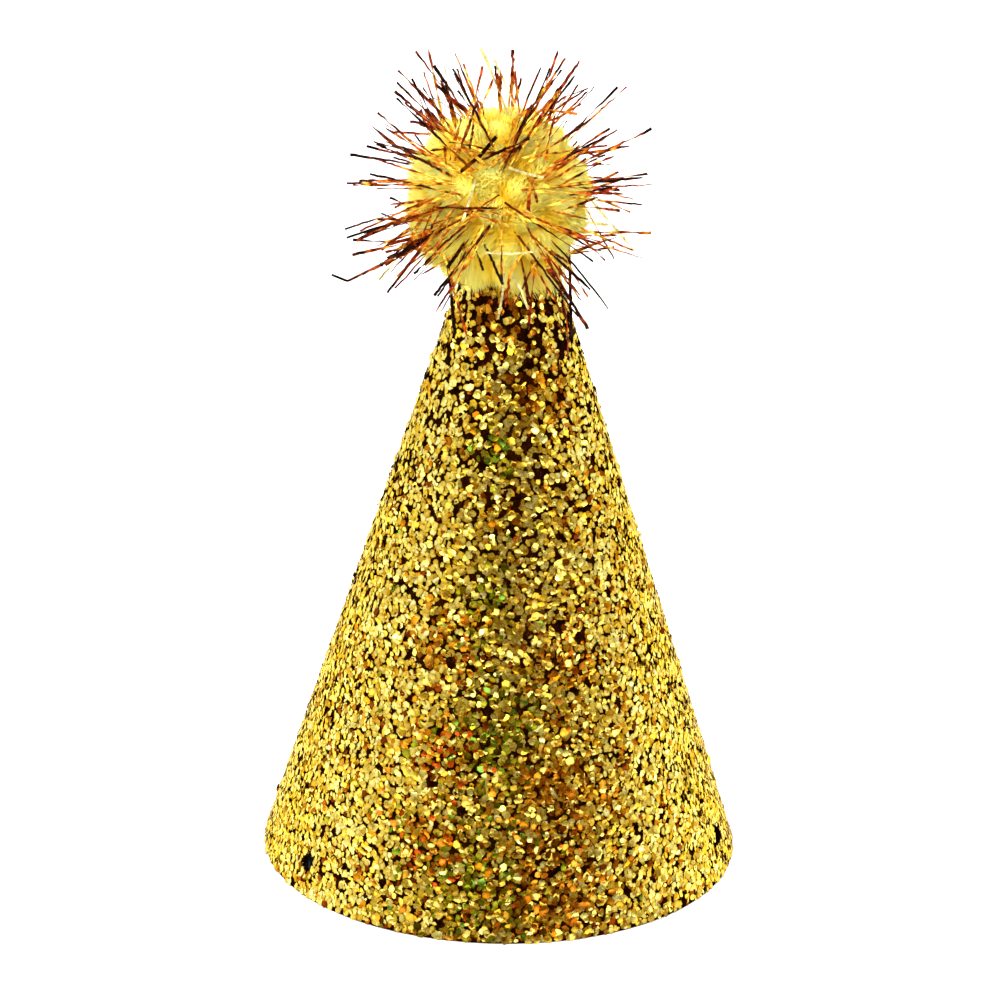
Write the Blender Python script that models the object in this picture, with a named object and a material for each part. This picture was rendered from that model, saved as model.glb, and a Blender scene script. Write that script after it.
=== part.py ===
"""A cone party hat: rolled card faced with glitter, with a plush and tinsel pompom on its tip.

Metres, +Z up. The hat stands on its rim at z = 0, its axis is the Z axis, and its front faces -Y.
"""
import math
import random

import bmesh
import bpy
from mathutils import Vector

MM = 0.001
FULL_TURN = 2.0 * math.pi
SHARP_ANGLE = math.radians(35.0)  # edges sharper than this are shaded as edges
WELD_DISTANCE = 0.001 * MM

# Cone, measured on its glittered outer face
RIM_RADIUS = 50.0 * MM
APEX_HEIGHT = 152.6 * MM  # where the slanted sides would meet
TIP_HEIGHT = 136.0 * MM  # top edge of the rolled card, inside the pompom
SEAM_AZIMUTH = math.radians(97.5)  # the free edge of the outer flap, at the back

# Sheets, one on the other
GAP = 0.3 * MM
GLITTER_THICKNESS = 0.4 * MM
CARD_THICKNESS = 0.4 * MM
GLUE_THICKNESS = 0.2 * MM
GLITTER_EDGE = 0.2 * MM  # how far the glitter stops short of the card's edges

# Roll: flat strips along the slant, so a round of 96 meets the X and Y axes exactly
ROLL_STEPS = 96
TAB_STEPS = 3  # the glue tab that runs on under the outer flap
DIP_STEPS = 2  # where the card dips to pass under the flap
SEAM_CLEARANCE = 0.02  # radians between the glitter's end and the flap's edge
GLUE_MARGIN = 0.02  # radians of tab left clear of glue on each side
GLUE_END_MARGIN = 3.0 * MM

# Two punched holes for a chin cord: (azimuth in degrees, height)
CORD_HOLES = ((216.0, 6.4 * MM), (343.5, 7.5 * MM))
CORD_HOLE_RADIUS = 1.9 * MM
CORD_HOLE_SIDES = 24
CUTTER_DEPTH = 8.0 * MM

# Pompom, a little off the axis to the left
POMPOM_CENTRE = Vector((-2.6 * MM, 0.0, 138.6 * MM))
PLUSH_RADIUS = 18.2 * MM
PLUSH_SEGMENTS = 40
PLUSH_RINGS = 24
RECESS_TOP = 138.2 * MM
RECESS_CLEARANCE = 0.45 * MM
RECESS_BOTTOM = 112.0 * MM
FIT_CLEARANCE = 0.35 * MM

# Binding thread: a knot inside the plush, a stem down the tip, and a stop knot in the cone
STEM_RADIUS = 0.5 * MM
KNOT_RADIUS = 1.8 * MM
KNOT_HEIGHT = 145.0 * MM
STOP_KNOT_RADIUS = 1.5 * MM
STOP_KNOT_HEIGHT = 121.0 * MM
KNOT_POINTS = 6
TURNED_STEPS = 24

# Hot-melt plug that holds the thread in the tip
PLUG_BOTTOM = 123.0 * MM
PLUG_CAP_GAP = 0.3 * MM
PLUG_CAP_THICKNESS = 1.4 * MM
PLUG_CAP_RADIUS = 4.8 * MM

# Tinsel: bunches of foil strands spread evenly over the pompom, except where the cone is
TINSEL_SITES = 44
TINSEL_CLEAR_OF_CONE = math.radians(55.0)
TINSEL_ROOT = 14.4 * MM  # distances from the pompom's centre
TINSEL_COLLAR = 18.9 * MM
TINSEL_DOME = 19.2 * MM
SOCKET_BOTTOM = 14.0 * MM
SOCKET_TOP = 20.0 * MM
SOCKET_RADIUS = 1.15 * MM
SOCKET_SIDES = 12
BUNCH_SIDES = 6
BUNCH_RADIUS = 0.75 * MM
BUNCH_INNER_RADIUS = 0.35 * MM
STRAND_REACH = (27.0 * MM, 31.0 * MM)
STRAND_SPREAD = (math.radians(7.5), math.radians(11.5))
STRAND_TIP_SCALE = 0.25
SEED = 20

SLOPE = RIM_RADIUS / APEX_HEIGHT
SLANT_COSINE = 1.0 / math.hypot(1.0, SLOPE)
CARD_DEPTH = GLITTER_THICKNESS + GAP
TUCK = CARD_THICKNESS + GAP + GLUE_THICKNESS + GAP
STEP_ANGLE = FULL_TURN / ROLL_STEPS
TAB_ANGLE = TAB_STEPS * STEP_ANGLE
DIP_ANGLE = DIP_STEPS * STEP_ANGLE

COLOURS = {  # base colour, roughness, metallic
    "card": ((0.88, 0.87, 0.84), 0.85, 0.0),
    "glitter": ((0.80, 0.62, 0.12), 0.35, 0.8),
    "glue": ((0.93, 0.91, 0.85), 0.45, 0.0),
    "thread": ((0.85, 0.70, 0.20), 0.8, 0.0),
    "plush": ((0.88, 0.74, 0.20), 0.95, 0.0),
    "tinsel": ((0.45, 0.18, 0.05), 0.25, 1.0),
}


def clear_scene():
    for old in list(bpy.data.objects):
        bpy.data.objects.remove(old, do_unlink=True)


def material(key):
    made = bpy.data.materials.new(key)
    made.use_nodes = True
    shader = made.node_tree.nodes["Principled BSDF"]
    colour, roughness, metallic = COLOURS[key]
    shader.inputs["Base Color"].default_value = (*colour, 1.0)
    shader.inputs["Roughness"].default_value = roughness
    shader.inputs["Metallic"].default_value = metallic
    return made


def mesh_from(bm, name):
    bmesh.ops.recalc_face_normals(bm, faces=bm.faces)
    mesh = bpy.data.meshes.new(name)
    bm.to_mesh(mesh)
    bm.free()
    return mesh


def add_object(name, mesh, surface=None, parent=None):
    made = bpy.data.objects.new(name, mesh)
    bpy.context.scene.collection.objects.link(made)
    made.parent = parent
    if surface is not None:
        mesh.materials.append(surface)
        mesh.shade_smooth()
        mesh.set_sharp_from_angle(angle=SHARP_ANGLE)
    return made


def add_empty(name, location, parent=None):
    made = bpy.data.objects.new(name, None)
    bpy.context.scene.collection.objects.link(made)
    made.location = location
    made.parent = parent
    return made


def add_cutter(name, mesh, parent=None):
    made = add_object(name, mesh, parent=parent)
    made.hide_render = True
    made.display_type = "WIRE"
    return made


def cut(target, cutter):
    boolean = target.modifiers.new(cutter.name, "BOOLEAN")
    boolean.operation = "DIFFERENCE"
    boolean.solver = "EXACT"
    boolean.object = cutter


def wall_radius(height, depth=0.0):
    """Radius at a height of the surface that lies depth under the cone's outer face."""
    return (APEX_HEIGHT - height) * SLOPE - depth / SLANT_COSINE


def tuck_depth(turn):
    """How far the sheet has sunk under its outer face, so its end passes below its start."""
    part = (turn - (FULL_TURN - DIP_ANGLE)) / DIP_ANGLE
    part = min(max(part, 0.0), 1.0)
    return TUCK * part * part * (3.0 - 2.0 * part)


def rolled_sheet(name, turns, heights, depths):
    """A strip of sheet rolled round the cone through the given turns from the seam."""
    low, high = heights
    outer, inner = depths
    corners = ((low, outer), (high, outer), (high, inner), (low, inner))
    bm = bmesh.new()
    sections = []
    for turn in turns:
        azimuth = SEAM_AZIMUTH + turn
        section = []
        for height, depth in corners:
            radius = wall_radius(height, depth + tuck_depth(turn))
            point = (radius * math.cos(azimuth), radius * math.sin(azimuth), height)
            section.append(bm.verts.new(point))
        sections.append(section)
    for one, two in zip(sections, sections[1:]):
        for corner in range(4):
            after = (corner + 1) % 4
            bm.faces.new((one[corner], one[after], two[after], two[corner]))
    bm.faces.new(sections[0])
    bm.faces.new(reversed(sections[-1]))
    return mesh_from(bm, name)


def turned_shape(name, profile):
    """A solid turned about Z from an outline of (radius, height) points."""
    bm = bmesh.new()
    verts = [bm.verts.new((radius, 0.0, height)) for radius, height in profile]
    edges = [bm.edges.new(pair) for pair in zip(verts, verts[1:])]
    if profile[0][0] > 0.0:
        edges.append(bm.edges.new((verts[-1], verts[0])))
    bmesh.ops.spin(
        bm, geom=verts + edges, axis=(0, 0, 1), cent=(0, 0, 0),
        angle=FULL_TURN, steps=TURNED_STEPS,
    )
    bmesh.ops.remove_doubles(bm, verts=bm.verts, dist=WELD_DISTANCE)
    return mesh_from(bm, name)


def knot_arc(centre, radius, stem, over=True):
    """Half of a knot's outline, from its pole to the stem, or from the stem to its pole."""
    end = math.pi - math.asin(stem / radius)
    arc = []
    for step in range(1, KNOT_POINTS + 1):
        angle = end * step / KNOT_POINTS
        rise = radius * math.cos(angle)
        arc.append((radius * math.sin(angle), centre + (rise if over else -rise)))
    return arc if over else arc[::-1]


def cord_hole_mesh(name, azimuth, height):
    """A punch square to the cone's face."""
    outward = Vector((math.cos(azimuth), math.sin(azimuth), SLOPE)).normalized()
    radius = wall_radius(height)
    centre = Vector((radius * math.cos(azimuth), radius * math.sin(azimuth), height))
    bm = bmesh.new()
    bmesh.ops.create_cone(
        bm, cap_ends=True, segments=CORD_HOLE_SIDES,
        radius1=CORD_HOLE_RADIUS, radius2=CORD_HOLE_RADIUS, depth=CUTTER_DEPTH,
    )
    bm.transform(outward.to_track_quat("Z", "Y").to_matrix().to_4x4())
    bmesh.ops.translate(bm, verts=bm.verts, vec=centre)
    return mesh_from(bm, name)


def make_cone(hat):
    """The card blank, its glittered face and the glue line in their overlap."""
    round_turns = [STEP_ANGLE * step for step in range(ROLL_STEPS)]
    tab_turns = [FULL_TURN + STEP_ANGLE * step for step in range(TAB_STEPS + 1)]
    card_mesh = rolled_sheet(
        "card_cone", round_turns + tab_turns, (0.0, TIP_HEIGHT),
        (CARD_DEPTH, CARD_DEPTH + CARD_THICKNESS),
    )
    card = add_object("card_cone", card_mesh, material("card"), hat)

    face_mesh = rolled_sheet(
        "glitter_face", round_turns + [FULL_TURN - SEAM_CLEARANCE],
        (GLITTER_EDGE, TIP_HEIGHT - GLITTER_EDGE), (0.0, GLITTER_THICKNESS),
    )
    face = add_object("glitter_face", face_mesh, material("glitter"), hat)

    glue_depth = CARD_DEPTH + CARD_THICKNESS + GAP
    glue_span = TAB_ANGLE - 2.0 * GLUE_MARGIN
    glue_turns = [GLUE_MARGIN + glue_span * step / TAB_STEPS for step in range(TAB_STEPS + 1)]
    glue_mesh = rolled_sheet(
        "seam_glue", glue_turns, (GLUE_END_MARGIN, TIP_HEIGHT - GLUE_END_MARGIN),
        (glue_depth, glue_depth + GLUE_THICKNESS),
    )
    add_object("seam_glue", glue_mesh, material("glue"), hat)

    for number, (azimuth, height) in enumerate(CORD_HOLES, start=1):
        name = f"cord_hole_cutter_{number}"
        cutter = add_cutter(name, cord_hole_mesh(name, math.radians(azimuth), height), hat)
        cut(card, cutter)
        cut(face, cutter)


def make_tie(hat):
    """The binding thread: stop knot, stem and the knot that grips the plush."""
    profile = [(0.0, STOP_KNOT_HEIGHT - STOP_KNOT_RADIUS)]
    profile += knot_arc(STOP_KNOT_HEIGHT, STOP_KNOT_RADIUS, STEM_RADIUS, over=False)[::-1]
    profile += knot_arc(KNOT_HEIGHT, KNOT_RADIUS, STEM_RADIUS)[::-1]
    profile.append((0.0, KNOT_HEIGHT + KNOT_RADIUS))
    add_object("pompom_tie", turned_shape("pompom_tie", profile), material("thread"), hat)


def make_plug(hat):
    """The hot-melt plug, with the thread's hole through it and a cap over the card's top edge."""
    depth = CARD_DEPTH + CARD_THICKNESS + TUCK + FIT_CLEARANCE
    hole = STEM_RADIUS + FIT_CLEARANCE
    neck = TIP_HEIGHT + PLUG_CAP_GAP
    profile = [
        (hole, neck + PLUG_CAP_THICKNESS),
        (PLUG_CAP_RADIUS, neck + PLUG_CAP_THICKNESS),
        (PLUG_CAP_RADIUS, neck),
        (wall_radius(neck, depth), neck),
        (wall_radius(PLUG_BOTTOM, depth), PLUG_BOTTOM),
        (hole, PLUG_BOTTOM),
    ]
    add_object("glue_plug", turned_shape("glue_plug", profile), material("glue"), hat)


def recess_mesh(name):
    """The pocket for the cone's tip, the thread's channel and the room for its knot."""
    channel = STEM_RADIUS + FIT_CLEARANCE
    room = KNOT_RADIUS + FIT_CLEARANCE
    profile = [
        (0.0, RECESS_BOTTOM),
        (wall_radius(RECESS_BOTTOM) + RECESS_CLEARANCE, RECESS_BOTTOM),
        (wall_radius(RECESS_TOP) + RECESS_CLEARANCE, RECESS_TOP),
        (channel, RECESS_TOP),
    ]
    profile += knot_arc(KNOT_HEIGHT, room, channel)[::-1]
    profile.append((0.0, KNOT_HEIGHT + room))
    return turned_shape(name, profile)


def tinsel_directions():
    """Even directions over a ball, left out where the cone comes in from below."""
    golden = math.pi * (3.0 - math.sqrt(5.0))
    directions = []
    for site in range(TINSEL_SITES):
        up = 1.0 - (2.0 * site + 1.0) / TINSEL_SITES
        if math.acos(-up) < TINSEL_CLEAR_OF_CONE:
            continue
        out = math.sqrt(1.0 - up * up)
        directions.append(Vector((out * math.cos(golden * site), out * math.sin(golden * site), up)))
    return directions


def socket_mesh(name, directions):
    """Every socket for a tinsel stem, as separate prisms in one cutter."""
    bm = bmesh.new()
    for direction in directions:
        made = bmesh.ops.create_cone(
            bm, cap_ends=True, segments=SOCKET_SIDES, radius1=SOCKET_RADIUS,
            radius2=SOCKET_RADIUS, depth=SOCKET_TOP - SOCKET_BOTTOM,
        )
        turn = direction.to_track_quat("Z", "Y").to_matrix()
        middle = direction * (SOCKET_TOP + SOCKET_BOTTOM) / 2.0
        bmesh.ops.rotate(bm, verts=made["verts"], cent=(0, 0, 0), matrix=turn)
        bmesh.ops.translate(bm, verts=made["verts"], vec=middle)
    return mesh_from(bm, name)


def make_plush(hat, centre, directions):
    """The plush ball, with its pocket for the cone and its sockets for the tinsel."""
    bm = bmesh.new()
    bmesh.ops.create_uvsphere(bm, u_segments=PLUSH_SEGMENTS, v_segments=PLUSH_RINGS, radius=PLUSH_RADIUS)
    ball = add_object("pompom_plush", mesh_from(bm, "pompom_plush"), material("plush"), centre)
    cut(ball, add_cutter("tip_pocket_cutter", recess_mesh("tip_pocket_cutter"), hat))
    cut(ball, add_cutter("socket_cutter", socket_mesh("socket_cutter", directions), centre))


def bunch_ring(bm, radius, height):
    ring = []
    for side in range(BUNCH_SIDES):
        angle = FULL_TURN * side / BUNCH_SIDES
        ring.append(bm.verts.new((radius * math.cos(angle), radius * math.sin(angle), height)))
    return ring


def pull_strand(bm, face, end):
    """Draws one face of the dome out into a thin strand that ends at a point."""
    strand = bmesh.ops.extrude_discrete_faces(bm, faces=[face])["faces"][0]
    middle = strand.calc_center_median()
    for vert in strand.verts:
        vert.co = end + (vert.co - middle) * STRAND_TIP_SCALE


def bunch_mesh(name, chance):
    """A stem along +Z, and a strand from each face of its domed end, the flat top's first."""
    bm = bmesh.new()
    rings = [
        bunch_ring(bm, BUNCH_RADIUS, TINSEL_ROOT),
        bunch_ring(bm, BUNCH_RADIUS, TINSEL_COLLAR),
        bunch_ring(bm, BUNCH_INNER_RADIUS, TINSEL_DOME),
    ]
    bm.faces.new(reversed(rings[0]))
    dome = [bm.faces.new(rings[2])]
    for side in range(BUNCH_SIDES):
        after = (side + 1) % BUNCH_SIDES
        for low, high in zip(rings, rings[1:]):
            wall = bm.faces.new((low[side], low[after], high[after], high[side]))
            if high is rings[2]:
                dome.append(wall)
    for number, face in enumerate(dome):
        spread = chance.uniform(*STRAND_SPREAD) if number else 0.0
        middle_of_side = FULL_TURN * (number - 0.5) / BUNCH_SIDES
        reach = chance.uniform(*STRAND_REACH)
        out = math.sin(spread)
        end = Vector((
            out * math.cos(middle_of_side),
            out * math.sin(middle_of_side),
            math.cos(spread),
        ))
        pull_strand(bm, face, end * reach)
    return mesh_from(bm, name)


def make_tinsel(centre, directions):
    chance = random.Random(SEED)
    foil = material("tinsel")
    for number, direction in enumerate(directions, start=1):
        name = f"tinsel_bunch_{number:02d}"
        bunch = add_object(name, bunch_mesh(name, chance), foil, centre)
        bunch.rotation_mode = "QUATERNION"
        bunch.rotation_quaternion = direction.to_track_quat("Z", "Y")


def main():
    clear_scene()
    hat = add_empty("hat", (0.0, 0.0, 0.0))
    centre = add_empty("pompom_centre", POMPOM_CENTRE, hat)
    directions = tinsel_directions()
    make_cone(hat)
    make_plug(hat)
    make_tie(hat)
    make_plush(hat, centre, directions)
    make_tinsel(centre, directions)


main()
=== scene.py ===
"""Looks of the glitter party hat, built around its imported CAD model."""
import math

import bmesh
import bpy
import numpy as np
from mathutils import Matrix, Vector, noise
from mathutils.bvhtree import BVHTree


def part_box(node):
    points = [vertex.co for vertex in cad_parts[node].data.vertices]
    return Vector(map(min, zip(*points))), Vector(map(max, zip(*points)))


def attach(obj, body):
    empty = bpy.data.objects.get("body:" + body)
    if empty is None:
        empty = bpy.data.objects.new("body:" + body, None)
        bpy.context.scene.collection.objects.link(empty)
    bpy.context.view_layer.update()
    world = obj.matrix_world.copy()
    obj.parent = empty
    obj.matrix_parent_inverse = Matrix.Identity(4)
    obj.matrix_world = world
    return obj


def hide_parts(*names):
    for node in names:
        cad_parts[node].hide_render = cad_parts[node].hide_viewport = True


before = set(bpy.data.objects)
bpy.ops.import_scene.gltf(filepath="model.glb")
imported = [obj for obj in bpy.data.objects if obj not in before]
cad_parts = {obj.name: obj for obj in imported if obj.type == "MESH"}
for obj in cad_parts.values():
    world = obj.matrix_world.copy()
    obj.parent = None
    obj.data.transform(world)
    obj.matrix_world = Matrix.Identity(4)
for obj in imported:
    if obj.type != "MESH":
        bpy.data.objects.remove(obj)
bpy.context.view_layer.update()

MM = 0.001
FULL_TURN = 2.0 * math.pi
TINY = 1e-9
BODY = "root"
FLAKE_SEED = 11
YARN_SEED = 12
FOIL_SEED = 13
# The names of a mesh's painted colours and baking map, and how much of its cell a chip fills there
TINT = "tint"
BAKE_MAP = "OFBake"
CELL_FILL = 0.8
# Faces that meet at a steeper angle than this have a sharp edge between them
SHARP_ANGLE = math.radians(35.0)

# Camera: where it stands, how far it looks down and leans, its lens, and the nearest thing it sees
CAMERA_PLACE = Vector((-1.14 * MM, -545.91 * MM, 259.03 * MM))
CAMERA_DIP = math.radians(18.556)
CAMERA_ROLL = math.radians(1.114)
CAMERA_LENS = 100.77
SENSOR = 36.0
CLIP_START = 0.01

# Glitter layers: spacing and size of the chips, how far they stand off the face, how much the
# flat and the loose ones tilt, and the share of loose ones at the rim and at the tip
UNDER_LAYER = {
    "pitch": 1.04 * MM, "radius": (0.46 * MM, 1.08 * MM), "lift": (0.05 * MM, 0.18 * MM),
    "tilts": (0.085, 0.27), "loose": (0.02, 0.27),
}
TOP_LAYER = {
    "pitch": 1.90 * MM, "radius": (0.44 * MM, 1.08 * MM), "lift": (0.15 * MM, 0.30 * MM),
    "tilts": (0.11, 0.32), "loose": (0.04, 0.52),
}
STEEPEST_TILT = 0.62
# How far apart the rows are and how far chips are shifted, in pitches, and the fewest in a row
ROW_SPACING = 0.87
FLAKE_JITTER = 1.19
FEWEST_IN_ROW = 6
# A chip's outline: its corners, the spread of its size, how narrow it may be, and how much its
# corners stray in angle and in reach
FLAKE_SIDES = 6
SIZE_SPREAD = (1.6, 1.5)
NARROWEST = 0.58
CORNER_STRAY = 0.22
CORNER_REACH = (0.74, 1.12)
# How far a chip's middle stands out or in and how much further a tilted chip stands off, as
# shares of its radius, and the lowest that a corner may be
FLAKE_CROWN = 0.11
TILT_LIFT = 0.35
LOWEST_CORNER = 0.05 * MM
# The film under the flakes isn't quite flat: how finely it ripples, and how far that tilts them
RIPPLE_FINENESS = 330.0
RIPPLE_TILT = 0.12
# A ray finds the face from this far outside it, to this far under its even cone. How near the
# rim or the tip a point belongs to it, and how far from both the chips' places stay
PROBE = 10.0 * MM
DEEPEST_DIP = 1.7 * MM
RIM_BAND = 0.1 * MM
EDGE_MARGIN = 0.55 * MM

# Bare spots between the chips: how finely they lie around and up the cone, and the levels that
# set their share at the rim and at the tip. Their rise towards the tip is painted shadow of the ball
BARE_FINENESS = Vector((720.0, 720.0, 400.0))
BARE_LEVELS = (-0.49, -0.06)
# How fast the flakes get looser and the bare spots, a painted shadow of the ball, more towards the tip
UPWARD = 1.7

# The punched cord holes, as (azimuth, height), how far the flakes stay from their middle,
# how far the painted shade on the card's hole walls reaches, and how far the unworn glitter reaches
CORD_HOLES = ((math.radians(216.0), 6.4 * MM), (math.radians(343.5), 7.5 * MM))
HOLE_CLEAR = 1.72 * MM
HOLE_SHADE_REACH = 2.3 * MM
UNWORN_REACH = 3.6 * MM
# How squarely a card face looks out to be stained anywhere, or looks in to stay clean at a hole,
# where the walls get painted shade
STAIN_AND_SHADE_FACING = 0.5

# Flake tints: (share, linear colour)
GOLD_TINTS = (
    (0.55, (1.00, 0.92, 0.33)),
    (0.18, (0.98, 0.79, 0.11)),
    (0.17, (0.98, 0.99, 0.48)),
    (0.06, (0.60, 0.26, 0.008)),
    (0.04, (0.24, 0.05, 0.001)),
)
# How a flake's colour fades at its cut edge
EDGE_FADE = (0.83, 0.67, 0.26)
# Painted shade on the flakes, laid at random: its spread and its most, the tone of an unshaded
# flake, how far the painted shade darkens it, and how much faster its green and blue go than its red
FLAKE_SHADE_SPREAD = (1.2, 2.6)
DEEPEST_FLAKE_SHADE = 1.1
FULL_FLAKE_TONE = 1.04
FLAKE_SHADE_DEPTH = 0.52
SHADE_FADE = np.array((1.0, 1.7, 4.2))
# The painted shade lies in clumps: how finely, and how much that adds to it
SHADE_FINENESS = 430.0
SHADE_DRIFT = 0.42
# Tints of the rainbow flakes, as linear colours
GREEN_TINTS = (
    (0.24, 0.30, 0.012),
    (0.44, 0.44, 0.040),
    (0.34, 0.35, 0.018),
    (0.15, 0.15, 0.006),
    (0.24, 0.54, 0.080),
)
ORANGE_TINTS = ((0.90, 0.34, 0.03), (0.60, 0.11, 0.01), (0.94, 0.62, 0.08), (0.40, 0.14, 0.01))
AMBER_TINTS = ((0.84, 0.42, 0.045), (0.56, 0.20, 0.014), (0.66, 0.40, 0.05), (0.32, 0.12, 0.007))
# Pale flake tints that stand for light: a painted highlight
PAINTED_LIGHT_TINTS = ((1.00, 0.86, 0.24), (1.00, 0.92, 0.36))

# Patches of tinted flakes: (middle, reach, tints), the first two in mm. Most are rainbow and amber
# flakes. The pale ones are a painted highlight, and the amber ones high under the ball painted shadow
RAINBOW_AND_PAINTED_LIGHT_PATCHES = (
    ((-1.0, -37.5, 38.0), 12.0, GREEN_TINTS),
    ((-4.5, -46.0, 12.0), 14.0, GREEN_TINTS),
    ((-3.0, -29.0, 64.0), 8.0, GREEN_TINTS),
    ((-11.5, -36.5, 34.0), 8.0, ORANGE_TINTS),
    ((-14.0, -41.0, 18.0), 7.5, ORANGE_TINTS),
    ((11.0, -38.5, 29.0), 12.0, AMBER_TINTS),
    ((11.0, -45.5, 9.0), 13.0, AMBER_TINTS),
    ((12.0, -30.0, 54.0), 8.0, AMBER_TINTS),
    # Pale flakes over the front's middle: a painted highlight
    ((6.0, -28.0, 62.0), 10.0, PAINTED_LIGHT_TINTS),
    ((4.0, -21.0, 84.0), 9.0, PAINTED_LIGHT_TINTS),
    # Amber flakes high on the front, under the ball: painted shadow
    ((6.5, -13.0, 104.0), 7.0, AMBER_TINTS),
    ((-2.0, -10.0, 119.0), 8.0, AMBER_TINTS),
    ((-12.0, -29.0, 56.0), 7.0, AMBER_TINTS),
    ((-3.0, -19.0, 92.0), 6.0, GREEN_TINTS),
    ((36.0, 16.0, 28.0), 12.0, GREEN_TINTS),
    ((29.0, 24.0, 40.0), 10.0, ORANGE_TINTS),
    ((-34.0, 18.0, 34.0), 12.0, ORANGE_TINTS),
    ((-20.0, 26.0, 52.0), 10.0, GREEN_TINTS),
    ((8.0, 44.0, 16.0), 12.0, GREEN_TINTS),
)
# The share of them in the middle of a patch, how fast it falls off, and the share elsewhere
PATCH_SHARE = 0.68
PATCH_FALLOFF = 1.6
PATCH_STRAY = 0.012

# The plush ball's core: its size, the height of its lumps, and how finely the broad and the
# small ones lie, with the small ones' share of the height
CORE_RADIUS = 15.1 * MM
CORE_SUBDIVISIONS = 6
CORE_LUMP = 0.7 * MM
BROAD_LUMPS = 3.4
SMALL_LUMPS = 14.0
SMALL_LUMP_SHARE = 0.35
# The core is darker and more ochre than the outer yarn: painted shade of the ball's depths
CORE_SHADE_TINT = (0.98, 0.88, 0.70)
# Its pocket for the cone: how far it reaches below and above the tip, and the gap round the cone
POCKET_BELOW = 30.0 * MM
POCKET_ABOVE = 2.0 * MM
POCKET_SIDES = 64
CONE_CLEARANCE = 0.5 * MM

# Tufts: how many, how far they stray from even places, and their sizes and shades. How far a
# tuft's dome reaches, as a share of its side, and how low it may go between tufts
TUFTS = 150
TUFT_STRAY = 0.09
TUFT_SIZES = (0.5, 1.0)
TUFT_SHADES = (0.84, 1.0)
TUFT_REACH = 0.62
LOWEST_DOME = -0.3

# Fibres: where they start and end from the ball's middle, how uneven their ends are, how much
# lower they end between tufts, how far and how unevenly they lie over, and how thick they are
FIBRE_SETS = ("plush_fibres_long", "plush_fibres_short")
FIBRES_PER_SET = 21000
FIBRE_SIDES = 3
FIBRE_ROOT = 14.0 * MM
FIBRE_TOPS = (19.8 * MM, 19.2 * MM)
FIBRE_ROUGH = 0.40 * MM
FIBRE_DOME = 2.7 * MM
FIBRE_LAY = 2.4 * MM
LAY_SHARES = (0.35, 1.0)
LAY_STRAY = 0.35
FIBRE_WIDTH = 0.30 * MM
# Along a fibre: (how far out, how far over, how thick)
FIBRE_STATIONS = ((0.0, 0.0, 1.0), (0.62, 0.24, 0.95), (1.0, 1.0, 0.0))
# How far the shading turns away from a tuft's middle
PUFF = 0.85
# Under the ball the fibres hang lower, from this far down, and none point straight down
DRAPE = 0.9 * MM
DRAPE_FROM = -0.5
STRAIGHT_DOWN = -0.90
# Painted shade: the ochre tint between tufts and how fast it goes over a dome, and the ochre tint
# at the roots. Then the spread of the fibres' own shades
HOLLOW_SHADE_TINT = np.array((0.92, 0.62, 0.14))
DOME_GAIN = 1.4
ROOT_SHADE_TINT = np.array((0.94, 0.64, 0.16))
FIBRE_SHADES = (0.96, 1.02)

# Tinsel sprays: clumps in each, and strands in a clump, from the first to under the second
CLUMPS_PER_SPRAY = 3
STRANDS_PER_CLUMP = (1, 4)
# How far clumps and strands stray from their aim, and where they start: how deep, how spread
CLUMP_STRAY = 0.26
STRAND_STRAY = 0.09
STEM_BAND = 1.0 * MM
ROOT_DEPTH = 13.0 * MM
CLUMP_SPREAD = 1.8 * MM
STRAND_SPREAD = 1.0 * MM
# Where clumps end, from the ball's middle, and how much of that their strands reach
CLUMP_REACH = (30.5 * MM, 35.5 * MM)
STRAND_REACH = (0.76, 1.0)
# The most that a strand bows, the share of strands with a kink, where it is and how sharp, and
# the share of strands that take on a new colour
SPRAY_BOW = 0.06
KINK_SHARE = 0.12
KINK_PLACES = (0.5, 0.8)
KINK_SIZE = 0.35
NEW_KIND_SHARE = 0.4

# A strand: its width in a spray and over the front, its thickness, the points along it, the
# spread of its twist in radians, and how crinkled it is
STRAND_WIDTH = (0.36 * MM, 0.74 * MM)
SWEPT_WIDTH = (0.32 * MM, 0.64 * MM)
STRAND_THICKNESS = 0.14 * MM
STRAND_STEPS = 24
STRAND_TWIST = 5.0
LOOSE_TWIST = 0.3
CRINKLE = 0.05 * MM

# Colours of the turns of a strand, from the ball outwards
FOIL_STOPS = {
    "dark": (
        (0.98, 0.62, 0.06), (0.92, 0.46, 0.03), (0.45, 0.07, 0.008), (0.10, 0.010, 0.003),
        (0.008, 0.004, 0.004),
    ),
    "copper": (
        (0.98, 0.70, 0.08), (0.96, 0.50, 0.04), (0.80, 0.20, 0.014), (0.34, 0.03, 0.006),
        (0.06, 0.007, 0.004),
    ),
    "gold": (
        (1.00, 0.80, 0.16), (0.98, 0.66, 0.07), (0.92, 0.42, 0.03), (0.66, 0.16, 0.014),
        (0.26, 0.03, 0.008),
    ),
    "pale": (
        (1.00, 0.88, 0.34), (1.00, 0.90, 0.42), (1.00, 0.90, 0.42), (1.00, 0.88, 0.36),
        (0.98, 0.80, 0.28),
    ),
    "black": (
        (0.34, 0.08, 0.008), (0.06, 0.008, 0.002), (0.02, 0.004, 0.002), (0.012, 0.003, 0.003),
        (0.006, 0.003, 0.004),
    ),
}
FOIL_SHARES = (("dark", 0.38), ("copper", 0.32), ("gold", 0.15), ("pale", 0.05), ("black", 0.10))
# How fast a strand runs through its colours, how far they are mottled, and their shades; the
# mottling and shades are painted highlights and shade of the twisting foil
FOIL_PACE = 1.05
FOIL_MOTTLE = 0.95
FOIL_SHADES = (0.55, 1.25)

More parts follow.
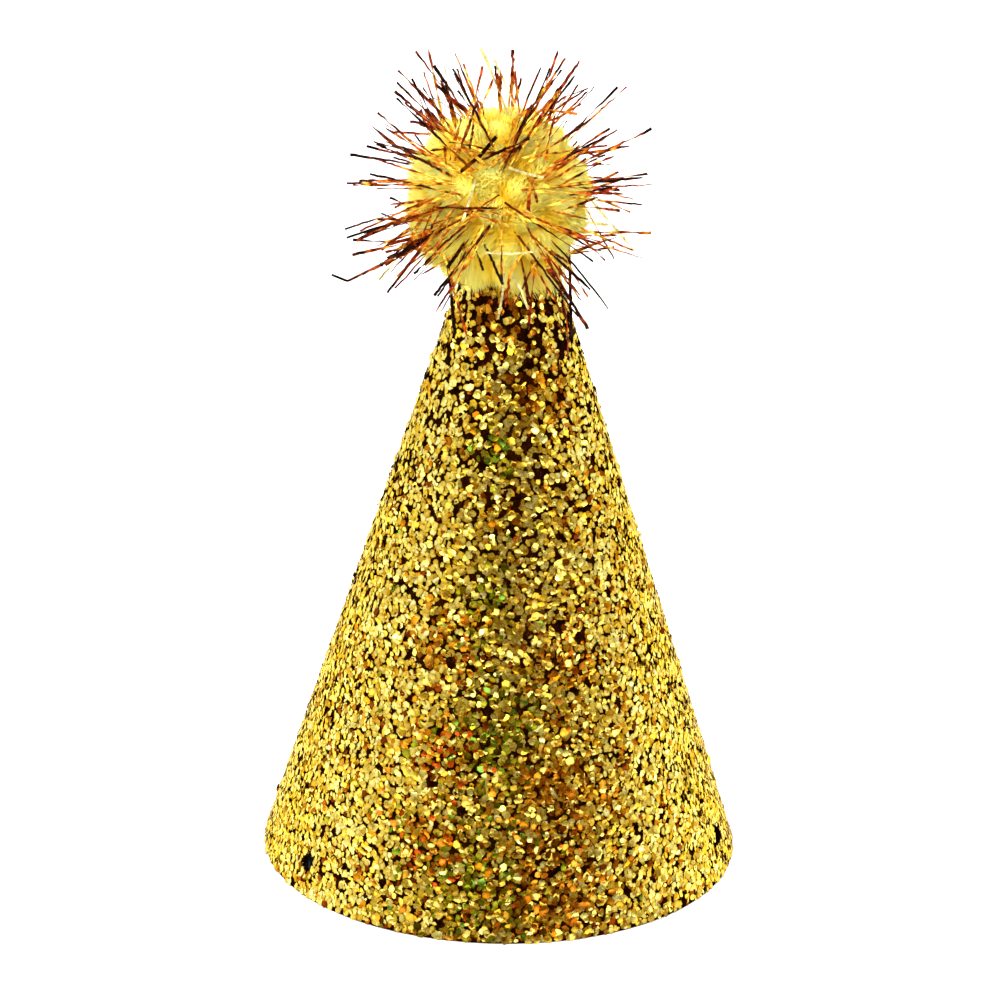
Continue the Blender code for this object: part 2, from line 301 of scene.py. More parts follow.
# Single strands that lie over the ball, as (across, up, towards the front) from its middle, in mm
LOOSE_STRANDS = (
    (((-7.4, 3.2, 18.8), (-3.6, 6.4, 19.2), (-0.6, 10.2, 18.2)), "black", 0.75),
    (((-4.4, 1.6, 20.4), (-5.6, -2.6, 20.0), (-6.8, -6.4, 19.2)), "pale", 0.50),
    (((1.8, 4.0, 20.6), (5.4, 3.0, 20.0), (8.6, 2.4, 19.0)), "pale", 0.50),
    (((-2.4, -12.0, 17.2), (3.0, -12.2, 17.4), (7.4, -11.6, 17.0)), "pale", 0.45),
    (((2.6, -15.4, 15.0), (4.8, -19.0, 15.0), (6.2, -22.6, 14.6)), "pale", 0.45),
    (((1.4, -15.8, 15.0), (1.2, -19.6, 14.6), (0.4, -24.6, 14.4)), "pale", 0.40),
    (((9.6, -14.6, 13.0), (13.0, -18.4, 11.0), (15.2, -21.4, 9.0)), "black", 0.60),
    (((-21.0, -12.6, 4.0), (-29.4, -17.0, 4.0), (-32.6, -15.8, 4.0)), "black", 0.50),
)

# Long clumps swept over the front, as (start, end) in the same measures
SWEPT_CLUMPS = (
    ((-5.0, -4.0, 18.6), (-19.5, -18.5, 13.0)),
    ((-6.5, -5.5, 17.8), (-23.0, -13.5, 11.0)),
    ((-1.0, -2.0, 19.6), (-14.0, -13.0, 15.5)),
    ((-9.0, -2.0, 17.0), (-27.0, -8.5, 9.0)),
    ((-8.0, 1.0, 17.4), (-25.5, 1.0, 13.0)),
    ((-4.0, 6.0, 17.8), (-18.0, 17.5, 13.0)),
    ((3.0, 6.5, 17.6), (12.5, 22.0, 12.0)),
    ((5.5, 3.5, 17.8), (21.0, 13.0, 13.0)),
    ((2.5, -3.5, 19.0), (19.0, -9.5, 15.5)),
    ((-2.0, -6.5, 18.4), (-12.0, -20.5, 14.5)),
    ((6.0, -8.0, 16.8), (15.5, -17.5, 15.0)),
    ((-6.0, 3.0, 17.8), (-22.5, 9.5, 12.0)),
    ((-1.5, 8.5, 17.4), (-8.5, 23.0, 11.0)),
    ((1.0, 5.0, 18.8), (9.0, 21.0, 13.5)),
    ((7.5, -1.0, 17.6), (24.5, 1.5, 12.0)),
)
STRANDS_PER_SWEEP = 5
SWEPT_KINDS = ("dark", "copper", "dark", "copper", "black")
# How far their strands stray from the start and the end, and the most that they bow
SWEPT_START_SPREAD = 1.3 * MM
SWEPT_END_SPREAD = 1.9 * MM
SWEPT_BOW = 0.05

# The studio's light, from square to the opening's direction (0) to straight into it (1)
OPENING = Vector((0.19, -0.979, -0.07))
STUDIO_STRENGTH = 1.20
STUDIO_STOPS = (
    (0.00, (1.0, 1.0, 1.0)),
    (0.26, (0.86, 0.83, 0.74)),
    (0.50, (0.45, 0.37, 0.17)),
    (0.72, (0.230, 0.164, 0.045)),
    (0.88, (0.162, 0.106, 0.020)),
    (1.00, (0.116, 0.073, 0.012)),
)
# Lamps: (name, place, target, size, power, whether they show in reflections)
LAMPS = (
    ("top", (0.0, 0.10, 1.70), (0.0, 0.0, 0.0), 1.30, 16.0, True),
    ("key", (-0.45, -0.60, 0.95), (0.0, 0.0, 0.10), 0.60, 8.0, True),
    ("fill", (0.60, -0.35, 0.70), (0.0, 0.0, 0.08), 0.45, 3.0, True),
    ("front", (-0.30, -1.30, 0.75), (0.0, 0.0, 0.12), 0.90, 27.0, False),
    ("back", (0.45, 1.20, 0.80), (0.0, 0.0, 0.12), 0.80, 9.0, False),
)
# The floor, and how strongly it glows: from nothing to the full glow at these distances
FLOOR_RADIUS = 4.0
FLOOR_SIDES = 64
FLOOR_GREY = 0.86
FLOOR_GLOW = 0.45
FLOOR_GLOW_FROM = 0.35
FLOOR_GLOW_FULL = 1.1


# ---------------------------------------------------------------- materials

def new_material(name):
    made = bpy.data.materials.new(name)
    made.use_nodes = True
    tree = made.node_tree
    shader = tree.nodes["Principled BSDF"]
    return made, tree, shader


def set_inputs(node, values):
    """Sets a node's sockets by their names."""
    for name, value in values.items():
        node.inputs[name].default_value = value


def add_node(tree, kind, **values):
    node = tree.nodes.new(kind)
    for key, value in values.items():
        if hasattr(node, key):
            setattr(node, key, value)
        else:
            node.inputs[key].default_value = value
    return node


def noise_node(tree, scale, detail=3.0):
    coords = add_node(tree, "ShaderNodeTexCoord")
    made = add_node(tree, "ShaderNodeTexNoise", Scale=scale, Detail=detail, Roughness=0.55)
    tree.links.new(coords.outputs["Object"], made.inputs["Vector"])
    return made


def voronoi_node(tree, scale):
    coords = add_node(tree, "ShaderNodeTexCoord")
    made = add_node(tree, "ShaderNodeTexVoronoi", Scale=scale)
    tree.links.new(coords.outputs["Object"], made.inputs["Vector"])
    return made


def ramp_node(tree, source, stops):
    ramp = add_node(tree, "ShaderNodeValToRGB")
    elements = ramp.color_ramp.elements
    while len(elements) < len(stops):
        elements.new(0.5)
    for element, (place, colour) in zip(elements, stops):
        element.position = place
        element.color = (*colour, 1.0)
    tree.links.new(source, ramp.inputs["Fac"])
    return ramp


def range_node(tree, source, low, high, from_low, from_high):
    made = add_node(tree, "ShaderNodeMapRange")
    set_inputs(made, {"From Min": from_low, "From Max": from_high, "To Min": low, "To Max": high})
    tree.links.new(source, made.inputs["Value"])
    return made


def bump_node(tree, shader, height, strength, distance):
    bump = add_node(tree, "ShaderNodeBump", Strength=strength, Distance=distance)
    tree.links.new(height, bump.inputs["Height"])
    tree.links.new(bump.outputs["Normal"], shader.inputs["Normal"])


def multiply_colour(tree, one, two, share=1.0):
    mix = tree.nodes.new("ShaderNodeMix")
    mix.data_type = "RGBA"
    mix.blend_type = "MULTIPLY"
    mix.inputs["Factor"].default_value = share
    tree.links.new(one, mix.inputs["A"])
    tree.links.new(two, mix.inputs["B"])
    return mix.outputs["Result"]


def tinted_foil(name, roughness, metallic, edge, coat, grain_scale, grain_low):
    """Foil whose colour is painted on the mesh, with fine worn streaks in it."""
    made, tree, shader = new_material(name)
    paint = add_node(tree, "ShaderNodeAttribute", attribute_name=TINT)
    grain = noise_node(tree, grain_scale)
    stops = ((0.30, (grain_low,) * 3), (0.62, (1.0, 1.0, 1.0)))
    shade = ramp_node(tree, grain.outputs["Fac"], stops)
    colour = multiply_colour(tree, paint.outputs["Color"], shade.outputs["Color"])
    tree.links.new(colour, shader.inputs["Base Color"])
    rough = range_node(tree, grain.outputs["Fac"], roughness * 1.35, roughness * 0.7, 0.3, 0.7)
    tree.links.new(rough.outputs["Result"], shader.inputs["Roughness"])
    set_inputs(shader, {
        "Metallic": metallic, "Specular Tint": (*edge, 1.0), "Specular IOR Level": 0.10,
        "Coat Weight": coat, "Coat Roughness": 0.08,
    })
    return made


def resin_material():
    """The dark tacky resin between the flakes, with fine gold dust in it."""
    made, tree, shader = new_material("glitter_resin")
    dust = voronoi_node(tree, 3300.0)
    tone = noise_node(tree, 420.0)
    dark_stops = ((0.35, (0.002, 0.0004, 0.0001)), (0.72, (0.011, 0.0018, 0.0002)))
    dark = ramp_node(tree, tone.outputs["Fac"], dark_stops)
    gold_stops = ((0.70, (1.0, 1.0, 1.0)), (0.86, (5.0, 9.0, 4.0)))
    gold = ramp_node(tree, dust.outputs["Color"], gold_stops)
    colour = multiply_colour(tree, dark.outputs["Color"], gold.outputs["Color"], 0.5)
    tree.links.new(colour, shader.inputs["Base Color"])
    set_inputs(shader, {"Specular IOR Level": 0.0, "Roughness": 0.6})
    bump_node(tree, shader, dust.outputs["Distance"], 0.6, 0.0002)
    return made


def stain_and_shade_material():
    """Card that the resin has soaked, on its bonded face; the same near-black on the walls of the
    punched holes is painted shade.
    """
    made, tree, shader = new_material("stain_and_painted_shade")
    blotch = noise_node(tree, 1300.0)
    stops = ((0.35, (0.0015, 0.001, 0.002)), (0.70, (0.008, 0.005, 0.005)))
    tone = ramp_node(tree, blotch.outputs["Fac"], stops)
    tree.links.new(tone.outputs["Color"], shader.inputs["Base Color"])
    set_inputs(shader, {"Roughness": 0.8, "Specular IOR Level": 0.0})
    bump_node(tree, shader, blotch.outputs["Fac"], 0.3, 0.0001)
    return made


def card_material():
    """Uncoated white card, with paper fibres and a little mottling."""
    made, tree, shader = new_material("card_stock")
    fibre = noise_node(tree, 900.0, detail=6.0)
    cloud = noise_node(tree, 60.0)
    cloud_stops = ((0.3, (0.80, 0.785, 0.745)), (0.7, (0.90, 0.89, 0.86)))
    tone = ramp_node(tree, cloud.outputs["Fac"], cloud_stops)
    fleck_stops = ((0.25, (0.86, 0.85, 0.83)), (0.6, (1.0, 1.0, 1.0)))
    fleck = ramp_node(tree, fibre.outputs["Fac"], fleck_stops)
    colour = multiply_colour(tree, tone.outputs["Color"], fleck.outputs["Color"])
    tree.links.new(colour, shader.inputs["Base Color"])
    set_inputs(shader, {"Roughness": 0.85})
    bump_node(tree, shader, fibre.outputs["Fac"], 0.35, 0.0001)
    return made


def glue_material():
    """Hot-melt glue: milky and slightly glossy, with soft ripples."""
    made, tree, shader = new_material("hot_glue")
    ripple = noise_node(tree, 260.0)
    stops = ((0.3, (0.74, 0.69, 0.55)), (0.7, (0.90, 0.87, 0.78)))
    tone = ramp_node(tree, ripple.outputs["Fac"], stops)
    tree.links.new(tone.outputs["Color"], shader.inputs["Base Color"])
    set_inputs(shader, {"Roughness": 0.32, "Subsurface Weight": 0.25, "Subsurface Scale": 0.002})
    bump_node(tree, shader, ripple.outputs["Fac"], 0.5, 0.0004)
    return made


def thread_material():
    """Twisted binding thread."""
    made, tree, shader = new_material("binding_thread")
    coords = add_node(tree, "ShaderNodeTexCoord")
    wave = add_node(tree, "ShaderNodeTexWave", Scale=900.0, Distortion=1.5)
    tree.links.new(coords.outputs["Object"], wave.inputs["Vector"])
    stops = ((0.2, (0.42, 0.27, 0.04)), (0.8, (0.86, 0.70, 0.20)))
    tone = ramp_node(tree, wave.outputs["Fac"], stops)
    tree.links.new(tone.outputs["Color"], shader.inputs["Base Color"])
    set_inputs(shader, {"Roughness": 0.8})
    bump_node(tree, shader, wave.outputs["Fac"], 0.6, 0.0003)
    return made


def plush_material(name, low, high):
    """Soft yarn: lemon, with the mesh's painted ochre shade in the hollows, and light that soaks through
    it.
    """
    made, tree, shader = new_material(name)
    cloud = noise_node(tree, 190.0, detail=4.0)
    tone = ramp_node(tree, cloud.outputs["Fac"], ((0.30, low), (0.66, high)))
    paint = add_node(tree, "ShaderNodeAttribute", attribute_name=TINT)
    colour = multiply_colour(tree, tone.outputs["Color"], paint.outputs["Color"])
    tree.links.new(colour, shader.inputs["Base Color"])
    set_inputs(shader, {
        "Roughness": 0.9, "Subsurface Weight": 0.35, "Subsurface Radius": (1.0, 0.50, 0.08),
        "Subsurface Scale": 0.002, "Specular IOR Level": 0.08,
    })
    return made


# ---------------------------------------------------------------- mesh helpers

def add_object(name, data):
    made = bpy.data.objects.new(name, data)
    bpy.context.scene.collection.objects.link(made)
    return made


def mesh_piece(name, verts, faces, surface, tints, smooth=False):
    """A mesh object with one material and a colour painted on each point."""
    mesh = bpy.data.meshes.new(name)
    mesh.from_pydata([tuple(v) for v in verts], [], faces)
    paint = mesh.attributes.new(TINT, "FLOAT_COLOR", "POINT")
    values = np.ones((len(verts), 4), np.float32)
    values[:, :3] = tints
    paint.data.foreach_set("color", values.ravel())
    mesh.materials.append(surface)
    if smooth:
        mesh.shade_smooth()
    mesh.update()
    return add_object(name, mesh)


def lay_out(piece, pattern):
    """A map that gives each chip or fibre of a piece its own cell, with its points as in the pattern."""
    mesh = piece.data
    each = len(pattern)
    across = math.ceil(math.sqrt(len(mesh.vertices) / each))
    corner = np.empty(len(mesh.loops), np.int32)
    mesh.loops.foreach_get("vertex_index", corner)
    cell = corner // each
    place = np.stack([cell % across, cell // across], axis=1) + 0.5
    place += (pattern[corner % each] - 0.5) * CELL_FILL
    flat = mesh.uv_layers.new(name=BAKE_MAP)
    flat.data.foreach_set("uv", (place / across).astype(np.float32).ravel())


def unit(vectors):
    return vectors / np.linalg.norm(vectors, axis=-1, keepdims=True)


class Cone:
    """The rolled face's outer surface, as its CAD mesh has it."""

    def __init__(self, node):
        points = np.array([v.co for v in node.data.vertices])
        self.low = points[:, 2].min()
        self.high = points[:, 2].max()
        reach = np.hypot(points[:, 0], points[:, 1])
        low_radius = reach[points[:, 2] < self.low + RIM_BAND].max()
        high_radius = reach[points[:, 2] > self.high - RIM_BAND].max()
        self.slope = (low_radius - high_radius) / (self.high - self.low)
        self.foot = low_radius + self.slope * self.low
        self.tree = BVHTree.FromPolygons(
            [v.co for v in node.data.vertices], [tuple(p.vertices) for p in node.data.polygons]
        )

    def radius(self, height):
        return self.foot - self.slope * height

    def normal(self, azimuth):
        return Vector((math.cos(azimuth), math.sin(azimuth), self.slope)).normalized()

    def hit(self, azimuth, height):
        """The point on the sheet at a place, or None over a punched hole."""
        radius = self.radius(height)
        outward = self.normal(azimuth)
        place = Vector((radius * math.cos(azimuth), radius * math.sin(azimuth), height))
        return self.tree.ray_cast(place + outward * PROBE, -outward, PROBE + DEEPEST_DIP)[0]

    def clearance(self, points):
        """How far points are outside the cone, negative inside it. Above the tip all is outside."""
        gap = np.hypot(points[..., 0], points[..., 1]) - (self.foot - self.slope * points[..., 2])
        return np.where(points[..., 2] > self.high + CONE_CLEARANCE, 1.0, gap)

    def push_out(self, points, clearance):
        """Moves points that are inside the cone straight outwards until they clear it."""
        short = np.clip(clearance - self.clearance(points), 0.0, None)
        reach = np.hypot(points[..., 0], points[..., 1]) + TINY
        points[..., 0] *= 1.0 + short / reach
        points[..., 1] *= 1.0 + short / reach


def even_directions(count):
    """Even directions over a ball."""
    golden = math.pi * (3.0 - math.sqrt(5.0))
    index = np.arange(count)
    up = 1.0 - (2.0 * index + 1.0) / count
    out = np.sqrt(1.0 - up * up)
    return np.stack([out * np.cos(golden * index), out * np.sin(golden * index), up], axis=1)


# ---------------------------------------------------------------- glitter

def flake_sites(cone, layer, chance):
    """Jittered places over the unrolled face, as (azimuth, height)."""
    pitch = layer["pitch"]
    slant = math.hypot(1.0, cone.slope)
    rows = int((cone.high - cone.low) * slant / (pitch * ROW_SPACING))
    sites = []
    for row in range(rows):
        height = cone.low + (row + 0.5) * (cone.high - cone.low) / rows
        count = max(FEWEST_IN_ROW, int(FULL_TURN * cone.radius(height) / pitch))
        step = FULL_TURN / count
        shifts = chance.uniform(-0.5, 0.5, (count, 2)) * FLAKE_JITTER
        phase = chance.uniform(0.0, step)
        for number in range(count):
            azimuth = phase + (number + shifts[number, 0]) * step
            place = height + shifts[number, 1] * pitch / slant
            place = min(max(place, cone.low + EDGE_MARGIN), cone.high - EDGE_MARGIN)
            sites.append((azimuth, place))
    return sites


def hole_middles(cone):
    """Each cord hole's middle on the face, and the way it is punched."""
    places = []
    for azimuth, height in CORD_HOLES:
        radius = cone.radius(height)
        middle = Vector((radius * math.cos(azimuth), radius * math.sin(azimuth), height))
        places.append((middle, cone.normal(azimuth)))
    return places


def is_bare(point, cone, holes):
    """Whether a spot on the face has lost its chips. More are bare towards the tip, as painted shadow of
    the ball.
    """
    if min((point - middle).length for middle, axis in holes) < UNWORN_REACH:
        return False
    share = ((point.z - cone.low) / (cone.high - cone.low)) ** UPWARD
    level = BARE_LEVELS[0] + (BARE_LEVELS[1] - BARE_LEVELS[0]) * share
    return noise.noise(point * BARE_FINENESS) < level


def pick_tints(places, drift, chance):
    """A tint for each flake. Rainbow flakes come in loose patches of one hue, as do patches of painted
    highlight and painted shadow, and painted shade darkens flakes at random.
    """
    shares = np.array([share for share, colour in GOLD_TINTS])
    golds = np.array([colour for share, colour in GOLD_TINTS])
    tints = golds[chance.choice(len(GOLD_TINTS), len(places), p=shares)]
    for middle, reach, hues in RAINBOW_AND_PAINTED_LIGHT_PATCHES:
        gap = np.linalg.norm(places - np.array(middle) * MM, axis=1) / (reach * MM)
        odds = PATCH_SHARE * np.exp(-gap * gap * PATCH_FALLOFF)
        odds += PATCH_STRAY / len(RAINBOW_AND_PAINTED_LIGHT_PATCHES)
        lit = chance.uniform(0.0, 1.0, len(places)) < odds
        tints[lit] = np.array(hues)[chance.integers(0, len(hues), lit.sum())]
    # Painted shade: flakes darkened at random, in clumps, with green and blue fading faster than red
    dimming = chance.beta(*FLAKE_SHADE_SPREAD, (len(places), 1)) + SHADE_DRIFT * drift[:, None]
    shade = FULL_FLAKE_TONE - FLAKE_SHADE_DEPTH * np.clip(dimming, 0.0, DEEPEST_FLAKE_SHADE)
    return np.clip(tints * shade ** SHADE_FADE, 0.0, 1.0)


def punch(corners, middle, axis):
    """Moves flake corners that reach into a hole out to its edge, as the punch cut them."""
    offset = corners - middle
    offset = offset - (offset @ axis)[..., None] * axis
    gap = np.linalg.norm(offset, axis=-1, keepdims=True) + TINY
    corners += offset / gap * np.clip(HOLE_CLEAR - gap, 0.0, None)


def place_flakes(cone, layer, holes, chance):
    """The chips' places, with the way the face looks there and how its film ripples."""
    points = []
    normals = []
    ripples = []
    for azimuth, height in flake_sites(cone, layer, chance):
        point = cone.hit(azimuth, height)
        if point is not None and not is_bare(point, cone, holes):
            points.append(point)
            normals.append(cone.normal(azimuth))
            ripples.append(noise.noise_vector(point * RIPPLE_FINENESS))
    return np.array(points), np.array(normals), np.array(ripples)


def pick_tilts(points, ripples, cone, layer, chance):
    """How far each chip tilts, sideways and up the slope. More are loose towards the tip."""
    flat, loose = layer["tilts"]
    share = ((points[:, 2:] - cone.low) / (cone.high - cone.low)) ** UPWARD
    odds = layer["loose"][0] + (layer["loose"][1] - layer["loose"][0]) * share
    spread = np.where(chance.uniform(0.0, 1.0, (len(points), 1)) < odds, loose, flat)
    tilts = chance.normal(0.0, 1.0, (len(points), 2)) * spread + ripples[:, :2] * RIPPLE_TILT
    return np.clip(tilts, -STEEPEST_TILT, STEEPEST_TILT)


def cut_chips(middles, radius, faces_out, along, chance):
    """Each chip's corners, an uneven hexagon, and last its crowned middle."""
    count = len(middles)
    side = unit(np.cross(along, faces_out))
    rise = np.cross(faces_out, side)
    spin = chance.uniform(0.0, FULL_TURN, (count, 1))
    squash = chance.uniform(NARROWEST, 1.0, (count, 1))
    corners = np.empty((count, FLAKE_SIDES + 1, 3))
    crown = chance.normal(0.0, FLAKE_CROWN, (count, 1))
    corners[:, FLAKE_SIDES] = middles + faces_out * radius * crown
    for corner in range(FLAKE_SIDES):
        stray = chance.uniform(-CORNER_STRAY, CORNER_STRAY, (count, 1))
        angle = FULL_TURN * corner / FLAKE_SIDES + stray
        stretch = chance.uniform(*CORNER_REACH, (count, 1))
        x = np.cos(angle) * stretch
        y = np.sin(angle) * stretch * squash
        across = x * np.cos(spin) - y * np.sin(spin)
        upward = x * np.sin(spin) + y * np.cos(spin)
        corners[:, corner] = middles + radius * (across * side + upward * rise)
    corners[..., 2] = np.maximum(corners[..., 2], LOWEST_CORNER)
    return corners


def make_flakes(name, cone, layer, surface, chance):
    """Loose hexagonal foil chips, each with its own size, tilt and tint."""
    holes = hole_middles(cone)
    points, normals, ripples = place_flakes(cone, layer, holes, chance)
    count = len(points)
    around = unit(np.stack([-normals[:, 1], normals[:, 0], np.zeros(count)], axis=1))
    along = np.cross(normals, around)
    tilts = pick_tilts(points, ripples, cone, layer, chance)
    faces_out = unit(normals + tilts[:, :1] * around + tilts[:, 1:] * along)
    smallest, largest = layer["radius"]
    radius = smallest + (largest - smallest) * chance.beta(*SIZE_SPREAD, (count, 1))
    lift = chance.uniform(*layer["lift"], (count, 1))
    lift += np.abs(tilts).max(axis=1, keepdims=True) * radius * TILT_LIFT
    corners = cut_chips(points + normals * lift, radius, faces_out, along, chance)
    for middle, axis in holes:
        punch(corners, np.array(middle), np.array(axis))
    drift = np.array([noise.noise(Vector(point) * SHADE_FINENESS) for point in points])
    fade = np.array((EDGE_FADE,) * FLAKE_SIDES + ((1.0, 1.0, 1.0),))
    tints = (pick_tints(points, drift, chance)[:, None] * fade).reshape(-1, 3)
    ring = np.arange(FLAKE_SIDES)
    fan = np.stack([ring, np.roll(ring, -1), np.full(FLAKE_SIDES, FLAKE_SIDES)], axis=1)
    order = (np.arange(count)[:, None, None] * (FLAKE_SIDES + 1) + fan).reshape(-1, 3)
    made = mesh_piece(name, corners.reshape(-1, 3), order.tolist(), surface, tints, smooth=True)
    turns = FULL_TURN * ring / FLAKE_SIDES
    pattern = np.stack([0.5 + 0.5 * np.cos(turns), 0.5 + 0.5 * np.sin(turns)], axis=1)
    lay_out(made, np.append(pattern, ((0.5, 0.5),), axis=0))
    return made


# ---------------------------------------------------------------- plush ball

def make_core(name, centre, cone, surface):
    """The dense middle of the ball: lumpy, with a pocket where the cone's tip goes in."""
    bm = bmesh.new()
    bmesh.ops.create_icosphere(bm, subdivisions=CORE_SUBDIVISIONS, radius=CORE_RADIUS)
    for vert in bm.verts:
        outward = vert.co.normalized()
        lump = noise.noise(outward * BROAD_LUMPS) * CORE_LUMP
        lump += noise.noise(outward * SMALL_LUMPS) * CORE_LUMP * SMALL_LUMP_SHARE
        vert.co += outward * lump + Vector(centre)
    verts = np.array([v.co for v in bm.verts])
    faces = [[v.index for v in f.verts] for f in bm.faces]
    bm.free()
    tints = np.tile(CORE_SHADE_TINT, (len(verts), 1))
    ball = mesh_piece(name, verts, faces, surface, tints, smooth=True)
    cut_pocket(ball, cone)
    return ball


def cut_pocket(ball, cone):
    """Cuts the room for the cone's tip out of the ball."""
    cutter_mesh = bpy.data.meshes.new("pocket")
    bm = bmesh.new()
    low = cone.high - POCKET_BELOW
    top = cone.high + POCKET_ABOVE
    made = bmesh.ops.create_cone(
        bm, cap_ends=True, segments=POCKET_SIDES, depth=top - low,
        radius1=cone.radius(low) + CONE_CLEARANCE, radius2=cone.radius(top) + CONE_CLEARANCE,
    )
    bmesh.ops.translate(bm, verts=made["verts"], vec=(0.0, 0.0, (top + low) / 2.0))
    bm.to_mesh(cutter_mesh)
    bm.free()
    cutter = add_object("pocket", cutter_mesh)
    boolean = ball.modifiers.new("pocket", "BOOLEAN")
    boolean.operation = "DIFFERENCE"
    boolean.object = cutter
    evaluated = ball.evaluated_get(bpy.context.evaluated_depsgraph_get())
    shaped = bpy.data.meshes.new_from_object(evaluated)
    ball.modifiers.clear()
    ball.data = shaped
    bpy.data.objects.remove(cutter)


def plan_tufts(chance):
    """The tufts of the ball: where each points, how it leans, how big it is and its shade."""
    tufts = unit(even_directions(TUFTS) + chance.normal(0.0, TUFT_STRAY, (TUFTS, 3)))
    lays = unit(np.cross(tufts, chance.normal(0.0, 1.0, (TUFTS, 3))))
    sizes = chance.uniform(*TUFT_SIZES, (TUFTS, 1))
    shades = chance.uniform(*TUFT_SHADES, (TUFTS, 1))
    return tufts, lays, sizes, shades


def fibre_tubes(path, outward):
    """The points of a thin tube round each fibre's path, which closes to a point at its end."""
    along = unit(np.gradient(path, axis=1))
    side = unit(np.cross(along[:, -1], outward) + TINY)
    up = unit(np.cross(along[:, -1], side))
    rings = path[:, :-1, None].repeat(FIBRE_SIDES, axis=2)
    for corner in range(FIBRE_SIDES):
        angle = FULL_TURN * corner / FIBRE_SIDES
        push = side * math.cos(angle) + up * math.sin(angle)
        for number, (rise, lean, width) in enumerate(FIBRE_STATIONS[:-1]):
            rings[:, number, corner] += push * FIBRE_WIDTH / 2.0 * width
    return np.concatenate([rings.reshape(len(path), -1, 3), path[:, -1:]], axis=1)


def fibre_faces():
    """The faces of one fibre's tube, from its first ring to its end point."""
    last = (len(FIBRE_STATIONS) - 2) * FIBRE_SIDES
    faces = []
    for start in range(0, last, FIBRE_SIDES):
        for corner in range(FIBRE_SIDES):
            here = start + corner
            after = start + (corner + 1) % FIBRE_SIDES
            faces.append((here, after, after + FIBRE_SIDES, here + FIBRE_SIDES))
    for corner in range(FIBRE_SIDES):
        faces.append((last + corner, last + (corner + 1) % FIBRE_SIDES, last + FIBRE_SIDES))
    return faces


def make_fibres(name, reach_out, plan, centre, cone, surface, chance):
    """Soft yarn fibres in tufts, each tuft a dome that leans over to one side."""
    tufts, lays, sizes, shades = plan
    outward = unit(chance.normal(0.0, 1.0, (FIBRES_PER_SET, 3)))
    outward = outward[outward[:, 2] > STRAIGHT_DOWN]
    count = len(outward)
    per = len(FIBRE_STATIONS)
    nearness = outward @ tufts.T
    tuft = nearness.argmax(axis=1)
    gap = np.arccos(np.clip(nearness.max(axis=1), -1.0, 1.0))
    reach = math.sqrt(4.0 * math.pi / TUFTS) * TUFT_REACH
    dome = np.clip(1.0 - (gap / reach) ** 2, LOWEST_DOME, 1.0)[:, None]
    size = sizes[tuft]
    top = reach_out - FIBRE_DOME * (1.0 - dome * size) + chance.normal(0.0, FIBRE_ROUGH, (count, 1))
    top += DRAPE * np.clip((DRAPE_FROM - outward[:, 2:]) / (1.0 + DRAPE_FROM), 0.0, 1.0)
    lay = unit(lays[tuft] + chance.normal(0.0, LAY_STRAY, (count, 3)))
    spread = FIBRE_LAY * chance.uniform(*LAY_SHARES, (count, 1)) * size
    path = np.empty((count, per, 3))
    for number, (rise, lean, width) in enumerate(FIBRE_STATIONS):
        aim = unit(outward * top + lay * spread * lean)
        path[:, number] = np.array(centre) + aim * (FIBRE_ROOT + (top - FIBRE_ROOT) * rise)
    cone.push_out(path, CONE_CLEARANCE)
    # Painted shade: fibres between tufts, and their roots, are darkened to ochre
    tone = np.clip(dome * size * DOME_GAIN, 0.0, 1.0)
    tone = (HOLLOW_SHADE_TINT + (1.0 - HOLLOW_SHADE_TINT) * tone) * chance.uniform(*FIBRE_SHADES, (count, 1))
    tone = tone * shades[tuft]
    axis = tufts[tuft]
    away = outward - axis * (outward * axis).sum(axis=1, keepdims=True)
    normals = unit(outward + away / reach * PUFF)
    verts = fibre_tubes(path, outward)
    each = verts.shape[1]
    pattern = fibre_faces()
    faces = [tuple(index + fibre * each for index in face) for fibre in range(count) for face in pattern]
    rises = np.array([rise for rise, lean, width in FIBRE_STATIONS])
    rises = np.append(rises[:-1].repeat(FIBRE_SIDES), 1.0)[:, None]
    shade = ROOT_SHADE_TINT + (1.0 - ROOT_SHADE_TINT) * rises
    tints = np.clip(tone[:, None] * shade, 0.0, 1.0)
    made = mesh_piece(name, verts.reshape(-1, 3), faces, surface, tints.reshape(-1, 3), smooth=True)
    made.data.normals_split_custom_set_from_vertices(np.repeat(normals, each, axis=0).tolist())
    places = []
    for number in range(per - 1):
        for corner in range(FIBRE_SIDES):
            places.append((corner / (FIBRE_SIDES - 1.0), number / (per - 1.0)))
    places.append((0.5, 1.0))
    lay_out(made, np.array(places))
    return made


# ---------------------------------------------------------------- tinsel

def pick_foil(chance):
    kinds = [kind for kind, share in FOIL_SHARES]
    shares = [share for kind, share in FOIL_SHARES]
    return kinds[chance.choice(len(kinds), p=shares)]


def strand_path(start, end, bow, kink, chance):
    """Points from start to end with a slight bow, and a sharp kink on some strands."""
    start = np.array(start)
    end = np.array(end)
    line = end - start
    length = np.linalg.norm(line)
    across = np.cross(line, chance.normal(0.0, 1.0, 3))
    across /= np.linalg.norm(across)
    share = np.linspace(0.0, 1.0, STRAND_STEPS)[:, None]
    path = start + line * share + across * length * bow * np.sin(math.pi * share * 0.5) ** 2
    if kink:
        past = np.clip(share - kink[0], 0.0, 1.0)
        path = path + np.array(kink[1]) * length * past
    return path + chance.normal(0.0, CRINKLE, path.shape)


